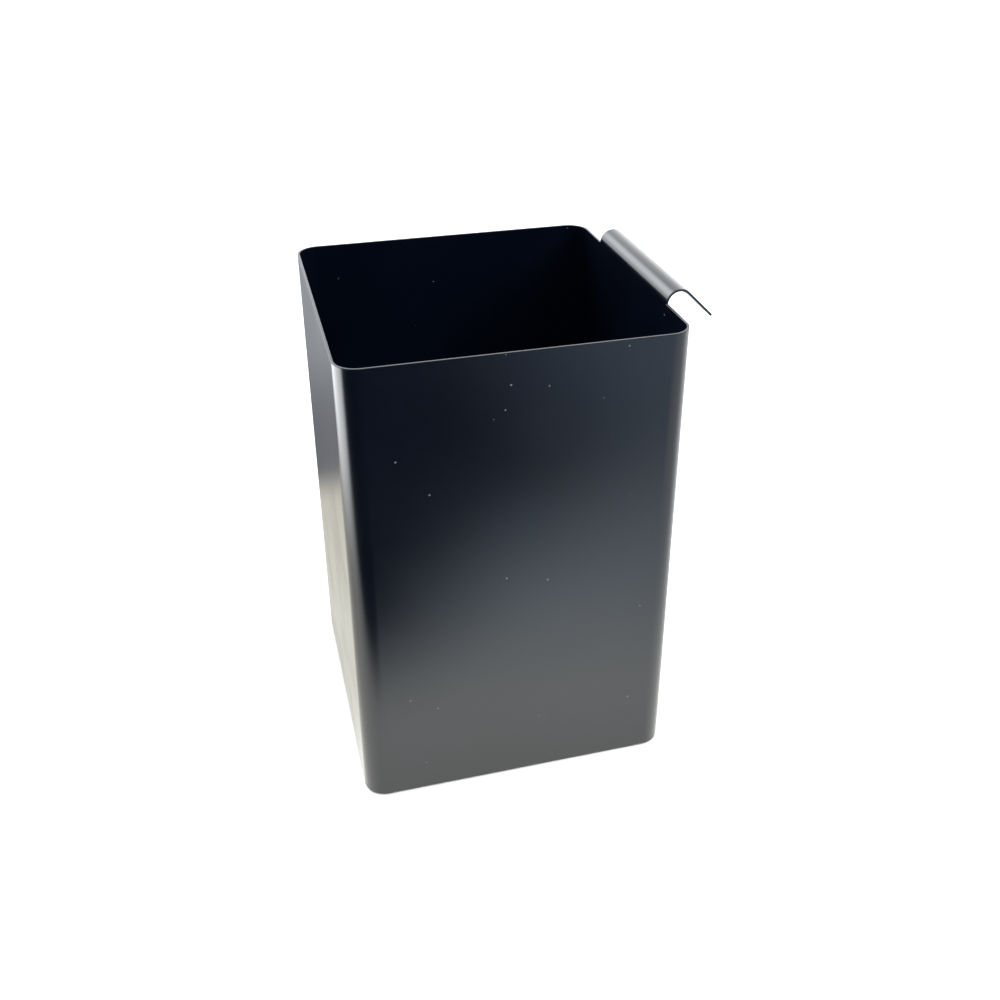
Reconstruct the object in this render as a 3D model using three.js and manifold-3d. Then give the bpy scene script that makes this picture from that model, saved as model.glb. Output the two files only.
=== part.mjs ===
// Square waste bin of folded sheet steel. One wall carries a broad tab that is curled outwards
// into a hook, so that the bin can hang on a panel edge or a rail as well as stand on its pads.
// Millimetres, +Z up. +X is the hook side, +Y the back, and the pads stand on z = 0.
import * as THREE from 'three';
import { mergeVertices } from 'three/addons/utils/BufferGeometryUtils.js';
import Module from 'manifold-3d';

// Driving dimensions
const WIDTH = 200; // outside of the walls, the same both ways
const HEIGHT = 300; // from the surface the bin stands on to the rim
const SHEET = 1.5; // wall thickness
const CORNER_RADIUS = 14; // outside radius of the four upright bends
const WALL_LIFT = 1; // the wall's lower edge stands this far off the floor

const HOOK_WIDTH = 116; // along the wall, centred on it
const HOOK_RADIUS = 7; // inside radius of the curl, which starts level with the rim
const HOOK_CURL = 135; // degrees that the tab is turned over
const HOOK_LEG = 22; // straight stretch after the curl
const HOOK_ROOT = 6; // overlap of the tab with its wall before the two are joined

const SEAM_GAP = 1.4; // butt gap in the middle of the wall opposite the hook
const SEAM_CLEARANCE = 0.2; // between the weld metal and each edge of the sheet
const SEAM_BEAD_WIDTH = 5; // crown of the weld on the inside face
const SEAM_BEAD_HEIGHT = 0.4;
const SEAM_END = 1; // the bead stops this far above the base and below the rim

const PAN_SHEET = 1.2; // thickness of the base
const PAN_BEND = 2; // inside radius of its turned-up edge
const PAN_FLANGE = 12; // height of that edge, from the underside
const PAN_RECESS = 2; // underside above the wall's lower edge
const PAN_CLEARANCE = 0.3; // between the turned-up edge and the wall

const WELD_LENGTH = 20; // one stitch of the base weld
const WELD_SPACING = 90; // between the two stitches of one side
const WELD_THROAT = 1; // how far the stitch hangs below the base
const WELD_CLEARANCE = 0.1; // to the wall and to the base

const PAD_RADIUS = 7;
const PAD_FOOT_RADIUS = 6; // where the pad touches the floor
const PAD_CHAMFER = 1;
const PAD_INSET = 26; // centre of a pad from the outside of each wall

const ARC_STEPS = 6; // half the number of facets in one bend
const ROUND_STEPS = 24; // facets round a pad

// Derived sizes
const QUARTER_TURN = Math.PI / 2;
const HALF = WIDTH / 2;
const PAN_BOTTOM = WALL_LIFT + PAN_RECESS;
const HOOK_END_ANGLE = THREE.MathUtils.degToRad(180 - HOOK_CURL);
const HOOK_CENTRE = HALF + HOOK_RADIUS;
const HOOK_TIP = HOOK_CENTRE + (HOOK_RADIUS + SHEET) * Math.cos(HOOK_END_ANGLE)
  + HOOK_LEG * Math.sin(HOOK_END_ANGLE);

const wasm = await Module();
wasm.setup();

function degrees(angle) {
  return THREE.MathUtils.degToRad(angle);
}

function toSolid(geometry) {
  const bare = geometry.clone();
  bare.deleteAttribute('normal');
  bare.deleteAttribute('uv');
  const merged = mergeVertices(bare, 1e-4);
  return new wasm.Manifold(new wasm.Mesh({
    numProp: 3,
    vertProperties: new Float32Array(merged.attributes.position.array),
    triVerts: new Uint32Array(merged.index.array),
  }));
}

function toGeometry(solid) {
  const mesh = solid.getMesh();
  const geometry = new THREE.BufferGeometry();
  geometry.setAttribute('position', new THREE.BufferAttribute(mesh.vertProperties, 3));
  geometry.setIndex(new THREE.BufferAttribute(mesh.triVerts, 1));
  geometry.computeVertexNormals();
  return geometry;
}

// Extrudes a closed outline straight up from z = low to z = high.
function upright(outline, low, high) {
  const geometry = new THREE.ExtrudeGeometry(outline, {
    depth: high - low,
    bevelEnabled: false,
    curveSegments: ARC_STEPS,
  });
  return geometry.translate(0, 0, low);
}

// Extrudes an outline drawn in the X-Z plane along Y, centred on y = 0.
function alongWall(outline, length) {
  const geometry = new THREE.ExtrudeGeometry(outline, {
    depth: length,
    bevelEnabled: false,
    curveSegments: ARC_STEPS,
  });
  const turned = new THREE.Matrix4().makeBasis(
    new THREE.Vector3(1, 0, 0),
    new THREE.Vector3(0, 0, 1),
    new THREE.Vector3(0, -1, 0),
  );
  return geometry.applyMatrix4(turned).translate(0, length / 2, 0);
}

function roundedSquare(half, radius) {
  const centre = half - radius;
  const outline = new THREE.Shape();
  outline.absarc(centre, centre, radius, degrees(0), degrees(90), false);
  outline.absarc(-centre, centre, radius, degrees(90), degrees(180), false);
  outline.absarc(-centre, -centre, radius, degrees(180), degrees(270), false);
  outline.absarc(centre, -centre, radius, degrees(270), degrees(360), false);
  return outline;
}

// The wrapped sheet from above, drawn with its seam at +Y: out along its outer face, back inside.
function wallOutline() {
  const centre = HALF - CORNER_RADIUS;
  const innerRadius = CORNER_RADIUS - SHEET;
  const corners = [[1, 1, 90], [1, -1, 0], [-1, -1, -90], [-1, 1, -180]];
  const outline = new THREE.Shape();
  outline.moveTo(SEAM_GAP / 2, HALF);
  for (const [sideX, sideY, start] of corners) {
    outline.absarc(sideX * centre, sideY * centre, CORNER_RADIUS,
      degrees(start), degrees(start - 90), true);
  }
  outline.lineTo(-SEAM_GAP / 2, HALF);
  outline.lineTo(-SEAM_GAP / 2, HALF - SHEET);
  for (const [sideX, sideY, start] of corners.toReversed()) {
    outline.absarc(sideX * centre, sideY * centre, innerRadius,
      degrees(start - 90), degrees(start), false);
  }
  outline.lineTo(SEAM_GAP / 2, HALF - SHEET);
  outline.closePath();
  return outline;
}

// The curled tab seen along the wall: concave underside, straight leg, then back over the top.
function hookOutline() {
  const legX = HOOK_LEG * Math.sin(HOOK_END_ANGLE);
  const legZ = HOOK_LEG * Math.cos(HOOK_END_ANGLE);
  const topRadius = HOOK_RADIUS + SHEET;
  const outline = new THREE.Shape();
  outline.moveTo(HALF, HEIGHT - HOOK_ROOT);
  outline.absarc(HOOK_CENTRE, HEIGHT, HOOK_RADIUS, Math.PI, HOOK_END_ANGLE, true);
  for (const radius of [HOOK_RADIUS, topRadius]) {
    outline.lineTo(
      HOOK_CENTRE + radius * Math.cos(HOOK_END_ANGLE) + legX,
      HEIGHT + radius * Math.sin(HOOK_END_ANGLE) - legZ,
    );
  }
  outline.absarc(HOOK_CENTRE, HEIGHT, topRadius, HOOK_END_ANGLE, Math.PI, false);
  outline.lineTo(HALF - SHEET, HEIGHT - HOOK_ROOT);
  outline.closePath();
  return outline;
}

// Wall: one sheet wrapped round four bends, with the hook curled from the same sheet. A quarter
// turn puts the seam opposite the hook, so that the flat blank is the same left and right.
function wallShell() {
  const wrapped = toSolid(upright(wallOutline(), WALL_LIFT, HEIGHT).rotateZ(QUARTER_TURN));
  const hook = toSolid(alongWall(hookOutline(), HOOK_WIDTH));
  return toGeometry(wrapped.add(hook));
}

// Seam weld from above, drawn at +Y: a stem in the butt gap, flush outside, and with a crown if
// asked a low bead on the inside face.
function seamOutline(crowned) {
  const stem = SEAM_GAP / 2 - SEAM_CLEARANCE;
  const inside = HALF - SHEET - WELD_CLEARANCE;
  const bead = SEAM_BEAD_WIDTH / 2;
  const outline = new THREE.Shape();
  outline.moveTo(stem, HALF);
  outline.lineTo(-stem, HALF);
  outline.lineTo(-stem, inside);
  if (crowned) {
    outline.lineTo(-bead, inside);
    outline.quadraticCurveTo(0, inside - 2 * SEAM_BEAD_HEIGHT, bead, inside);
  }
  outline.lineTo(stem, inside);
  outline.closePath();
  return outline;
}

// The seam weld runs the full height, and its bead is left off where the pan sits against it.
function seamWeld() {
  const stem = toSolid(upright(seamOutline(false), WALL_LIFT, HEIGHT));
  const crowned = upright(seamOutline(true), PAN_BOTTOM + PAN_FLANGE + SEAM_END, HEIGHT - SEAM_END);
  return toGeometry(stem.add(toSolid(crowned))).rotateZ(QUARTER_TURN);
}

// A rounded-square block whose lower and upper edges are rounded by the same bend radius.
function bentBlock(half, radius, bend, low, high) {
  const geometry = new THREE.ExtrudeGeometry(roundedSquare(half, radius), {
    depth: high - low - 2 * bend,
    bevelEnabled: true,
    bevelThickness: bend,
    bevelSize: bend,
    bevelOffset: -bend,
    bevelSegments: ARC_STEPS,
    curveSegments: ARC_STEPS,
  });
  return toSolid(geometry.translate(0, 0, low + bend));
}

// Base: a shallow pan with its edge turned up against the inside of the wall.
function basePan() {
  const half = HALF - SHEET - PAN_CLEARANCE;
  const radius = CORNER_RADIUS - SHEET - PAN_CLEARANCE;
  const outerBend = PAN_BEND + PAN_SHEET;
  const top = PAN_BOTTOM + PAN_FLANGE;
  const above = top + 2 * outerBend;
  const outside = bentBlock(half, radius, outerBend, PAN_BOTTOM, above);
  const inside = bentBlock(half - PAN_SHEET, radius - PAN_SHEET, PAN_BEND,
    PAN_BOTTOM + PAN_SHEET, above);
  const trimmed = toSolid(upright(roundedSquare(HALF, CORNER_RADIUS), top, above + outerBend));
  return toGeometry(outside.subtract(inside).subtract(trimmed));
}

// Stitch weld: a fillet in the groove between the pan's bend and the wall, on the +X side.
function baseWeld() {
  const wallFace = HALF - SHEET - WELD_CLEARANCE;
  const bendRadius = PAN_BEND + PAN_SHEET + WELD_CLEARANCE;
  const bendX = HALF - SHEET - PAN_CLEARANCE - PAN_BEND - PAN_SHEET;
  const bendZ = PAN_BOTTOM + PAN_BEND + PAN_SHEET;
  const rise = degrees(-20);
  const outline = new THREE.Shape();
  outline.moveTo(wallFace, PAN_BOTTOM - WELD_THROAT);
  outline.lineTo(wallFace, bendZ + bendRadius * Math.sin(rise));
  outline.absarc(bendX, bendZ, bendRadius, rise, degrees(-90), true);
  outline.closePath();
  return alongWall(outline, WELD_LENGTH);
}

// Pad: a round self-adhesive rubber foot with a chamfered lower edge.
function footPad() {
  const profile = [
    new THREE.Vector2(0, 0),
    new THREE.Vector2(PAD_FOOT_RADIUS, 0),
    new THREE.Vector2(PAD_RADIUS, PAD_CHAMFER),
    new THREE.Vector2(PAD_RADIUS, PAN_BOTTOM),
    new THREE.Vector2(0, PAN_BOTTOM),
  ];
  return new THREE.LatheGeometry(profile, ROUND_STEPS).rotateX(QUARTER_TURN);
}

function powderCoat() {
  return new THREE.MeshStandardMaterial({ color: 0x16181c, roughness: 0.42, metalness: 0 });
}

function blackRubber() {
  return new THREE.MeshStandardMaterial({ color: 0x1b1b1b, roughness: 0.85, metalness: 0 });
}

function named(name, geometry, material) {
  const mesh = new THREE.Mesh(geometry, material);
  mesh.name = name;
  return mesh;
}

const bin = new THREE.Group();
bin.add(named('wall_shell', wallShell(), powderCoat()));
bin.add(named('wall_seam_weld', seamWeld(), powderCoat()));
bin.add(named('base_pan', basePan(), powderCoat()));

const sides = ['hook_side', 'rear', 'far_side', 'front'];
for (const [quarter, side] of sides.entries()) {
  for (const end of [1, 2]) {
    const weld = named(`base_weld_${side}_${end}`, baseWeld(), powderCoat());
    weld.geometry.translate(0, (end - 1.5) * WELD_SPACING, 0);
    weld.rotation.z = quarter * QUARTER_TURN;
    bin.add(weld);
  }
}

const padCentre = HALF - PAD_INSET;
const padPlaces = {
  front_left: [-1, -1],
  front_right: [1, -1],
  rear_left: [-1, 1],
  rear_right: [1, 1],
};
for (const [place, [sideX, sideY]] of Object.entries(padPlaces)) {
  const pad = named(`foot_pad_${place}`, footPad(), blackRubber());
  pad.position.set(sideX * padCentre, sideY * padCentre, 0);
  bin.add(pad);
}

// The origin is on the floor below the middle of the whole outline, hook included.
const model = new THREE.Group();
bin.position.x = (HALF - HOOK_TIP) / 2;
model.add(bin);

export default model;
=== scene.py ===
# Square waste bin of black powder-coated sheet steel, with a hook curled from one wall.
# Metres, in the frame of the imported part: +X is the hook side, +Y the rear, and z = 0 the floor.
import math

import bmesh
import bpy
from mathutils import Matrix, Vector


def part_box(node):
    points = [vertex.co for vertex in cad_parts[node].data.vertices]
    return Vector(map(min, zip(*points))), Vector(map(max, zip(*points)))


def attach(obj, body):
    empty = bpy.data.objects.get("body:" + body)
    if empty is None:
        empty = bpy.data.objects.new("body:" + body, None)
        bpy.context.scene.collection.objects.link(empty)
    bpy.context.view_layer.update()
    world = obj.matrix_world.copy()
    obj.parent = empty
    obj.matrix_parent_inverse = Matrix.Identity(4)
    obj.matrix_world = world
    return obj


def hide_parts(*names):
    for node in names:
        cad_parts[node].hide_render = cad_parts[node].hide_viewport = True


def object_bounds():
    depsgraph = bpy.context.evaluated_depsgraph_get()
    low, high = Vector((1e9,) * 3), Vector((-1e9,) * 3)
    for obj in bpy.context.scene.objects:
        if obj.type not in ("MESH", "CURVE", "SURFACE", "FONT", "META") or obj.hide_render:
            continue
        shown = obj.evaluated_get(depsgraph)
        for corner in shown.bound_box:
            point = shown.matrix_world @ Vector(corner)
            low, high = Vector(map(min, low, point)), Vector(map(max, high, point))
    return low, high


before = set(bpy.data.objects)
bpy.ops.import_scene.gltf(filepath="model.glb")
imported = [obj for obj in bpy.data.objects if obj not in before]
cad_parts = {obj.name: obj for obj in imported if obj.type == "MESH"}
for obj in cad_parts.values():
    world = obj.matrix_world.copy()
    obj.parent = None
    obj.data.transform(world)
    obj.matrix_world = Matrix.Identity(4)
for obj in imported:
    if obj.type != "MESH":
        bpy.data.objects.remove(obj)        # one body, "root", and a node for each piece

cad_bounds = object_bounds()


# ---- Camera ---------------------------------------------------------------------------------
# A normal lens a little above the bin and to the left of its front wall, looking down so that
# the rear and hook-side walls show inside. The lens is shifted to set the bin in its frame.
camera_data = bpy.data.cameras.new("camera")
camera_data.lens = 39.98
camera_data.sensor_width = 36
camera_data.shift_y = -0.07
camera = bpy.data.objects.new("camera", camera_data)
bpy.context.scene.collection.objects.link(camera)
bpy.context.scene.camera = camera

camera_heading = math.radians(14.63)  # turned from +Y towards +X
camera_dip = math.radians(28.22)
camera_tilt = math.radians(-0.19)  # the camera was held a touch off level
camera_distance = 0.7585
camera_target = Vector((0.0071, 0.0297, 0.1825))
camera_forward = Vector((
    math.sin(camera_heading) * math.cos(camera_dip),
    math.cos(camera_heading) * math.cos(camera_dip),
    -math.sin(camera_dip),
))
camera_turn = camera_forward.to_track_quat("-Z", "Y").to_matrix().to_4x4()
camera.matrix_world = (
    Matrix.Translation(camera_target - camera_forward * camera_distance)
    @ camera_turn
    @ Matrix.Rotation(camera_tilt, 4, "Z")
)


# ---- Studio ---------------------------------------------------------------------------------
# A pale matt floor in soft light from overhead and the front right, in a white room that is
# brightest low behind the bin. Only reflections see the table: a level sheet of light just above
# the floor, with its front edge cut on a slant and a dark room beyond it.
class Signal:
    """The output of a shader node. Arithmetic on signals and numbers adds Math nodes."""

    def __init__(self, tree, output=None):
        self.tree = tree
        self.output = output

    def node(self, kind, settings=None, sockets=None, output=0):
        """Adds any node: its settings are made first, then its sockets get values or links."""
        node = self.tree.nodes.new("ShaderNode" + kind)
        for name, value in (settings or {}).items():
            setattr(node, name, value)
        for name, value in (sockets or {}).items():
            if isinstance(value, Signal):
                self.tree.links.new(value.output, node.inputs[name])
            else:
                node.inputs[name].default_value = value
        return Signal(self.tree, node.outputs[output] if node.outputs else None)

    def math(self, operation, first, second):
        return self.node("Math", {"operation": operation}, {0: first, 1: second})

    def __add__(self, other):
        return self.math("ADD", self, other)

    def __radd__(self, other):
        return self.math("ADD", other, self)

    def __sub__(self, other):
        return self.math("SUBTRACT", self, other)

    def __rsub__(self, other):
        return self.math("SUBTRACT", other, self)

    def __mul__(self, other):
        return self.math("MULTIPLY", self, other)

    def __rmul__(self, other):
        return self.math("MULTIPLY", other, self)

    def ramp(self, low, high, to_low=0.0, to_high=1.0):
        """Maps low..high smoothly to to_low..to_high, and stays level beyond both ends."""
        return self.node(
            "MapRange",
            {"interpolation_type": "SMOOTHSTEP"},
            {0: self, 1: low, 2: high, 3: to_low, 4: to_high},
        )

    def mix(self, first, second):
        """Blends two colours, with this signal as the share of the second."""
        return self.node(
            "Mix",
            {"data_type": "RGBA"},
            {0: self, 6: first, 7: second},
            output=2,
        )


def flat_material(name, colour, roughness):
    made = bpy.data.materials.new(name)
    made.use_nodes = True
    surface = made.node_tree.nodes["Principled BSDF"]
    surface.inputs["Base Color"].default_value = (*colour, 1)
    surface.inputs["Roughness"].default_value = roughness
    return made


def stage_sheet(name, reach, height, finish):
    """Adds a level square sheet to the stage, centred on the origin."""
    sheet = bmesh.new()
    lift = Matrix.Translation((0, 0, height))
    bmesh.ops.create_grid(sheet, x_segments=1, y_segments=1, size=reach, matrix=lift)
    mesh = bpy.data.meshes.new(name)
    sheet.to_mesh(mesh)
    sheet.free()
    made = bpy.data.objects.new(name, mesh)
    bpy.context.scene.collection.objects.link(made)
    mesh.materials.append(finish)
    return made


def table_glow():
    """The brightness of the table top: across is X and along is Y, in metres from the bin."""
    made = bpy.data.materials.new("table_glow")
    made.use_nodes = True
    made.node_tree.nodes.clear()
    shader = Signal(made.node_tree)
    place = shader.node("TexCoord", output=3)
    across = shader.node("SeparateXYZ", None, {"Vector": place}, output=0)
    along = shader.node("SeparateXYZ", None, {"Vector": place}, output=1)

    # The table near the bin: brightest in front, dimmer beside it, and warm on the left.
    to_right = across.ramp(0.03, 0.40)
    front_left = along.ramp(-0.34, -0.16).mix((1.78, 2.14, 2.38, 1), (2.42, 2.48, 2.40, 1))
    front = to_right.mix(front_left, (1.20, 1.22, 1.25, 1))
    beside_left = along.ramp(0.05, 0.28).mix((1.32, 1.30, 1.16, 1), (1.10, 1.07, 0.92, 1))
    beside = to_right.mix(beside_left, (1.85, 1.90, 1.95, 1))
    near_bin = along.ramp(-0.19, 0.02).mix(front, beside)

    # Its rear edge, behind the bin and to the left, and its bright far left.
    past_bin = along.ramp(0.255, 0.335) * across.ramp(0.05, 0.25, 1.0, 0.0)
    rear_room = along.ramp(0.40, 0.65).mix((0.25, 0.26, 0.28, 1), (0.43, 0.45, 0.48, 1))
    far_left = along.ramp(0.6, 1.6).mix((8.0, 8.2, 8.4, 1), (1.6, 1.6, 1.6, 1))
    to_left = across.ramp(-0.62, -0.32, 1.0, 0.0)
    table_top = to_left.mix(past_bin.mix(near_bin, rear_room), far_left)

    # Its front edge, which slants and steps back before the left corner, and the dark beyond.
    step_across = across.ramp(-0.20, 0.06, 0.15, 0.0) * across.ramp(-0.45, -0.20, 0.80, 1.0)
    step_back = step_across * along.ramp(-0.29, -0.16, 1.0, 0.0)
    slant = 0.54 * across.math("MAXIMUM", across, -0.25)
    on_table = (along + (slant - step_back)).ramp(-0.45, -0.20)
    dark_room = to_right.mix((0.0, 0.003, 0.014, 1), (0.84, 1.06, 1.30, 1))
    glow = shader.node("Emission", None, {"Color": on_table.mix(dark_room, table_top)})
    shader.node("OutputMaterial", None, {"Surface": glow})
    return made


stage_sheet("floor", 12, 0, flat_material("pale_floor", (0.86, 0.86, 0.86), 0.9))
table = stage_sheet("reflected_table", 6, 0.0004, table_glow())
table.visible_camera = False
table.visible_diffuse = False
table.visible_shadow = False


def soft_light(name, place, size, power):
    """A square soft light, aimed at the middle of the bin and kept out of its reflections."""
    light = bpy.data.lights.new(name, "AREA")
    light.shape = "SQUARE"
    light.size = size
    light.energy = power
    made = bpy.data.objects.new(name, light)
    made.location = place
    aim = (cad_bounds[0] + cad_bounds[1]) / 2 - Vector(place)
    made.rotation_euler = aim.to_track_quat("-Z", "Y").to_euler()
    made.visible_camera = False
    made.visible_glossy = False
    bpy.context.scene.collection.objects.link(made)


soft_light("overhead_light", (0.4, -0.7, 2.5), 4, 95)
soft_light("side_light", (1.3, -1.3, 1.6), 1, 42)

room = bpy.data.worlds.new("soft_white_room")
room.use_nodes = True
room.node_tree.nodes.clear()
sky = Signal(room.node_tree)
direction = sky.node("TexCoord", output=0)
towards_rear = sky.node("SeparateXYZ", None, {"Vector": direction}, output=1)
upwards = sky.node("SeparateXYZ", None, {"Vector": direction}, output=2)
window_direction = (-0.50, 0.68, 0.53)
to_window = sky.node(
    "VectorMath", {"operation": "DOT_PRODUCT"}, {0: direction, 1: window_direction}, output=1,
)
low_and_rear = towards_rear.ramp(-0.75, 1.0) * upwards.ramp(0.0, 1.0, 1.0, 0.62)
plain_light = low_and_rear.mix((0.04, 0.045, 0.06, 1), (2.65, 2.7, 2.75, 1))
room_light = to_window.ramp(0.88, 0.98).mix(plain_light, (7.0, 7.2, 7.6, 1))
seen_by_camera = sky.node("LightPath")
backdrop = sky.node("Background", None, {"Color": seen_by_camera.mix(room_light, (1, 1, 1, 1))})
sky.node("OutputWorld", None, {"Surface": backdrop})
bpy.context.scene.world = room
bpy.context.scene.view_settings.view_transform = "Standard"


# ---- Wall -----------------------------------------------------------------------------------
# One sheet of mild steel, bent round four upright corners and welded shut opposite the hook. The
# hook is a tab of the same sheet, curled outwards over a former before the bin is coated.
def new_material(name):
    """A new material, its node tree as a Signal to build from, and its surface shader."""
    made = bpy.data.materials.new(name)
    made.use_nodes = True
    surface = made.node_tree.nodes["Principled BSDF"]
    return made, Signal(made.node_tree), surface


def join(signal, surface, socket):
    signal.tree.links.new(signal.output, surface.inputs[socket])


def powder_coat(name):
    """Satin black powder coat: a fine even peel, faint handling marks and a few pale specks."""
    made, shader, surface = new_material(name)
    place = shader.node("TexCoord", output=3)
    peel = shader.node("TexNoise", None, {"Vector": place, "Scale": 520, "Detail": 1.5})
    grit = shader.node("TexNoise", None, {"Vector": place, "Scale": 1700, "Detail": 1})
    cloud = shader.node("TexNoise", None, {"Vector": place, "Scale": 11, "Detail": 3})
    wipe = shader.node("TexNoise", None, {"Vector": place, "Scale": 17, "Detail": 2})
    to_speck = shader.node("TexVoronoi", None, {"Vector": place, "Scale": 75})
    speck = to_speck.ramp(0.030, 0.050, 1, 0) * cloud.ramp(0.42, 0.56)
    mark = wipe.ramp(0.42, 0.82)

    coat = cloud.ramp(0.3, 0.7).mix((0.0010, 0.0023, 0.0062, 1), (0.0015, 0.0032, 0.0080, 1))
    join(speck.mix(coat, (0.14, 0.14, 0.135, 1)), surface, "Base Color")
    roughness = 0.195 + 0.02 * cloud + 0.05 * mark + 0.30 * speck
    join(roughness, surface, "Roughness")
    height = 0.75 * peel + 0.25 * grit + 0.8 * speck
    bump = shader.node("Bump", None, {"Height": height, "Strength": 0.35, "Distance": 0.00002})
    join(bump, surface, "Normal")
    surface.inputs["IOR"].default_value = 1.5
    return made


def place_piece(name, shape, finish, node_names):
    """Turns a bmesh into a shown piece that stands for its CAD nodes and rides on the bin."""
    mesh = bpy.data.meshes.new(name)
    shape.to_mesh(mesh)
    shape.free()
    mesh.shade_smooth()
    mesh.materials.append(finish)
    piece = bpy.data.objects.new(name, mesh)
    bpy.context.scene.collection.objects.link(piece)
    level = piece.modifiers.new("level_flats", "WEIGHTED_NORMAL")
    level.keep_sharp = True
    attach(piece, "root")
    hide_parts(*node_names)
    return piece


def rounded_tube(centre, half, low, high, radius, steps):
    """An upright square tube of one skin, open at both ends, with rounded corners."""
    tube = bmesh.new()
    size = Matrix.Diagonal((2 * half, 2 * half, high - low, 1))
    middle = Matrix.Translation((centre[0], centre[1], (low + high) / 2))
    bmesh.ops.create_cube(tube, size=1, matrix=middle @ size)
    ends = [face for face in tube.faces if abs(face.normal.z) > 0.9]
    bmesh.ops.delete(tube, geom=ends, context="FACES_ONLY")
    uprights = [
        edge for edge in tube.edges
        if abs(edge.verts[0].co.z - edge.verts[1].co.z) > (high - low) / 2
    ]
    bmesh.ops.bevel(
        tube, geom=uprights, offset=radius, offset_type="OFFSET",
        segments=steps, profile=0.5, affect="EDGES", material=-1,
    )
    return tube


def give_thickness(shape, thickness):
    """Welds the skin's doubled points, turns it outwards and adds the thickness behind it."""
    bmesh.ops.remove_doubles(shape, verts=shape.verts, dist=1e-6)
    bmesh.ops.recalc_face_normals(shape, faces=shape.faces)
    bmesh.ops.solidify(shape, geom=shape.faces[:], thickness=thickness)


def round_sheet_edges(shape, radius, steps):
    """Rounds every cut edge of the sheet, as the coat does when it flows over one."""
    sharp = [
        edge for edge in shape.edges
        if edge.is_manifold and edge.calc_face_angle() > math.radians(60)
    ]
    bmesh.ops.bevel(
        shape, geom=sharp, offset=radius, offset_type="OFFSET",
        segments=steps, profile=0.5, affect="EDGES", material=-1,
    )


wall_low, wall_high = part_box("wall_shell")
wall_half = (wall_high.y - wall_low.y) / 2
wall_centre = (wall_low.x + wall_half, 0)
rim_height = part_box("wall_seam_weld")[1].z
wall_thickness = 0.0015
corner_radius = 0.014
hook_radius = 0.007
hook_half_width = 0.058
hook_curl = math.radians(135)
hook_leg = 0.022
wall_edge_radius = 0.0003

wall = rounded_tube(wall_centre, wall_half, wall_low.z, rim_height, corner_radius, 16)
for side in (-1, 1):
    bmesh.ops.bisect_plane(
        wall, geom=wall.verts[:] + wall.edges[:] + wall.faces[:],
        plane_co=(0, side * hook_half_width, 0), plane_no=(0, 1, 0),
    )
outer_face = wall_centre[0] + wall_half
rim_of_tab = [
    edge for edge in wall.edges
    if all(
        vert.co.x > outer_face - 1e-5
        and vert.co.z > rim_height - 1e-5
        and abs(vert.co.y) < hook_half_width + 1e-5
        for vert in edge.verts
    )
]
curl = bmesh.ops.spin(
    wall, geom=rim_of_tab + list({vert for edge in rim_of_tab for vert in edge.verts}),
    cent=(outer_face + hook_radius, 0, rim_height), axis=(0, 1, 0),
    angle=hook_curl, steps=24, use_duplicate=False,
)
curl_end = [item for item in curl["geom_last"] if isinstance(item, bmesh.types.BMEdge)]
leg = bmesh.ops.extrude_edge_only(wall, edges=curl_end)
leg_end = [item for item in leg["geom"] if isinstance(item, bmesh.types.BMVert)]
leg_slope = hook_curl - math.pi / 2
bmesh.ops.translate(
    wall, verts=leg_end,
    vec=(hook_leg * math.cos(leg_slope), 0, -hook_leg * math.sin(leg_slope)),
)
give_thickness(wall, wall_thickness)
round_sheet_edges(wall, wall_edge_radius, 3)
black_coat = powder_coat("black_powder_coat")
place_piece("wall_sheet", wall, black_coat, ["wall_shell"])


# ---- Seam weld ------------------------------------------------------------------------------
# The butt weld up the middle of the wall opposite the hook. It is ground flush outside, and
# inside it keeps a low rippled crown, stopping short of the pan below and of the rim above.
def weld_bead(length, half_width, height, ripple_pitch, ripple_depth, end_taper):
    """A bead along Z with an oval section, the ripples of its pools and tapered ends."""
    bead = bmesh.new()
    bmesh.ops.create_cone(
        bead, cap_ends=True, segments=16, radius1=1, radius2=1, depth=length,
    )
    lengthwise = [edge for edge in bead.edges if abs(edge.verts[0].co.z - edge.verts[1].co.z) > 0]
    cuts_per_ripple = 5
    bmesh.ops.subdivide_edges(
        bead, edges=lengthwise, cuts=round(length / ripple_pitch * cuts_per_ripple),
        use_grid_fill=True,
    )
    pool_bow = 0.6 * half_width
    end_closure = 0.9
    for vert in bead.verts:
        along = vert.co.z
        to_end = (length / 2 - abs(along)) / end_taper
        taper = math.sqrt(1 - (1 - min(to_end, 1)) ** 2 * end_closure)
        pool = along + pool_bow * vert.co.x ** 2
        ripple = 1 + ripple_depth * math.sin(2 * math.pi * pool / ripple_pitch)
        vert.co.x *= half_width * taper
        vert.co.y *= height * taper * ripple
    return bead


seam_low, seam_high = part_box("wall_seam_weld")
pan_low, pan_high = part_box("base_pan")
seam_end_gap = 0.001
seam_bottom = pan_high.z + seam_end_gap
seam_top = seam_high.z - seam_end_gap
seam_inner_face = wall_low.x + wall_thickness
seam_bead = weld_bead(
    seam_top - seam_bottom, half_width=0.0024, height=0.00038,
    ripple_pitch=0.0016, ripple_depth=0.10, end_taper=0.004,
)
bmesh.ops.rotate(
    seam_bead, verts=seam_bead.verts, cent=(0, 0, 0),
    matrix=Matrix.Rotation(math.radians(90), 3, "Z"),
)
bmesh.ops.translate(
    seam_bead, verts=seam_bead.verts,
    vec=(seam_inner_face, 0, (seam_top + seam_bottom) / 2),
)
coated_weld = powder_coat("black_coat_on_weld")
place_piece("seam_weld_bead", seam_bead, coated_weld, ["wall_seam_weld"])


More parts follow.
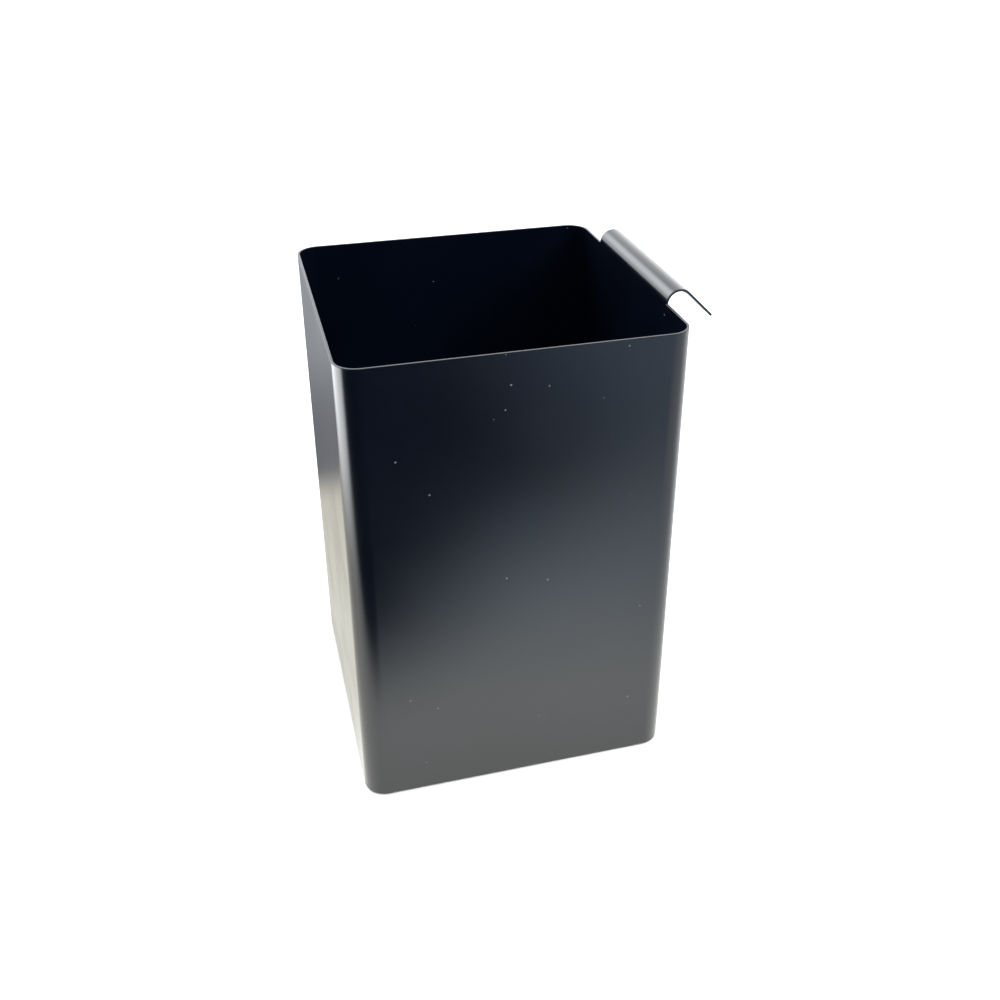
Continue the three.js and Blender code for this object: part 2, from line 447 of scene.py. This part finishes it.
# ---- Base -----------------------------------------------------------------------------------
# A shallow pan pressed from thinner sheet. Its turned-up edge fits inside the wall, and its
# underside is set above the wall's lower edge so that the pads and welds stay out of sight.
pan_half = (pan_high.x - pan_low.x) / 2
pan_clearance = wall_half - wall_thickness - pan_half
pan_thickness = 0.0012
pan_bend = 0.0032  # outside radius
pan_edge_radius = 0.0003

pan = bmesh.new()
pan_size = Matrix.Diagonal((2 * pan_half, 2 * pan_half, pan_high.z - pan_low.z, 1))
pan_middle = Matrix.Translation((wall_centre[0], 0, (pan_high.z + pan_low.z) / 2))
bmesh.ops.create_cube(pan, size=1, matrix=pan_middle @ pan_size)
bmesh.ops.delete(
    pan, geom=[face for face in pan.faces if face.normal.z > 0.9], context="FACES_ONLY",
)
pan_uprights = [
    edge for edge in pan.edges if abs(edge.verts[0].co.z - edge.verts[1].co.z) > 0.001
]
bmesh.ops.bevel(
    pan, geom=pan_uprights, offset=corner_radius - wall_thickness - pan_clearance,
    offset_type="OFFSET", segments=14, profile=0.5, affect="EDGES", material=-1,
)
pan_foot = [
    edge for edge in pan.edges if all(vert.co.z < pan_low.z + 1e-5 for vert in edge.verts)
]
bmesh.ops.bevel(
    pan, geom=pan_foot, offset=pan_bend,
    offset_type="OFFSET", segments=6, profile=0.5, affect="EDGES", material=-1,
)
give_thickness(pan, pan_thickness)
round_sheet_edges(pan, pan_edge_radius, 2)
place_piece("base_pan_sheet", pan, black_coat, ["base_pan"])


# ---- Base welds -----------------------------------------------------------------------------
# Short fillet welds, two to a side, in the groove between the pan's bend and the wall. They are
# laid from underneath and coated with the rest of the bin.
stitch_spacing = 0.090
stitch_length = 0.020
stitch_in_from_wall = 0.0011
stitch_above_pan = 0.0004  # from the underside
stitch_place = Vector((
    wall_half - wall_thickness - stitch_in_from_wall,
    0,
    pan_low.z + stitch_above_pan,
))

for quarter, side in enumerate(["hook_side", "rear", "far_side", "front"]):
    for end in (1, 2):
        stitch = weld_bead(
            stitch_length, half_width=0.0019, height=0.0012,
            ripple_pitch=0.0017, ripple_depth=0.14, end_taper=0.003,
        )
        lay_along_wall = (
            Matrix.Translation((wall_centre[0], 0, 0))
            @ Matrix.Rotation(quarter * math.pi / 2, 4, "Z")
            @ Matrix.Translation(stitch_place + Vector((0, (end - 1.5) * stitch_spacing, 0)))
            @ Matrix.Rotation(math.radians(45), 4, "Y")
            @ Matrix.Rotation(math.radians(90), 4, "X")
        )
        bmesh.ops.transform(stitch, matrix=lay_along_wall, verts=stitch.verts)
        place_piece(
            f"base_stitch_{side}_{end}", stitch, coated_weld,
            [f"base_weld_{side}_{end}"],
        )


# ---- Foot pads ------------------------------------------------------------------------------
# Four round self-adhesive pads of moulded rubber stuck under the base. Each has a slight draft,
# a rounded lower edge and a shallow dimple in its middle.
def pad_rubber():
    """Matt black rubber with a fine moulded grain, greyed a little where dust clings to it."""
    made, shader, surface = new_material("matt_pad_rubber")
    place = shader.node("TexCoord", output=3)
    grain = shader.node("TexNoise", None, {"Vector": place, "Scale": 2400, "Detail": 2})
    dust = shader.node("TexNoise", None, {"Vector": place, "Scale": 180, "Detail": 3})
    rubber = dust.ramp(0.45, 0.75).mix((0.020, 0.020, 0.020, 1), (0.050, 0.048, 0.045, 1))
    join(rubber, surface, "Base Color")
    join(0.72 + 0.16 * dust, surface, "Roughness")
    bump = shader.node("Bump", None, {"Height": grain, "Strength": 0.5, "Distance": 0.00005})
    join(bump, surface, "Normal")
    return made


rubber = pad_rubber()
for name in ("front_left", "front_right", "rear_left", "rear_right"):
    pad_low, pad_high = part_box(f"foot_pad_{name}")
    radius = (pad_high.x - pad_low.x) / 2
    height = pad_high.z - pad_low.z
    profile = [  # out from the axis and up from the floor, from the dimple to the glued face
        (0, 0.0004),
        (0.0022, 0.0003),
        (0.0032, 0),
        (0.0054, 0),
        (0.0060, 0.00018),
        (0.0063, 0.0006),
        (0.0066, 0.0016),
        (radius, height - 0.0002),
        (radius - 0.0002, height),
        (0, height),
    ]
    pad = bmesh.new()
    ring = [pad.verts.new((out, 0, up)) for out, up in profile]
    edges = [pad.edges.new(pair) for pair in zip(ring, ring[1:])]
    bmesh.ops.spin(
        pad, geom=ring + edges, cent=(0, 0, 0), axis=(0, 0, 1),
        angle=2 * math.pi, steps=40, use_merge=True, use_duplicate=False,
    )
    bmesh.ops.remove_doubles(pad, verts=pad.verts, dist=1e-6)
    bmesh.ops.recalc_face_normals(pad, faces=pad.faces)
    bmesh.ops.translate(
        pad, verts=pad.verts,
        vec=((pad_low.x + pad_high.x) / 2, (pad_low.y + pad_high.y) / 2, 0),
    )
    place_piece(f"rubber_pad_{name}", pad, rubber, [f"foot_pad_{name}"])
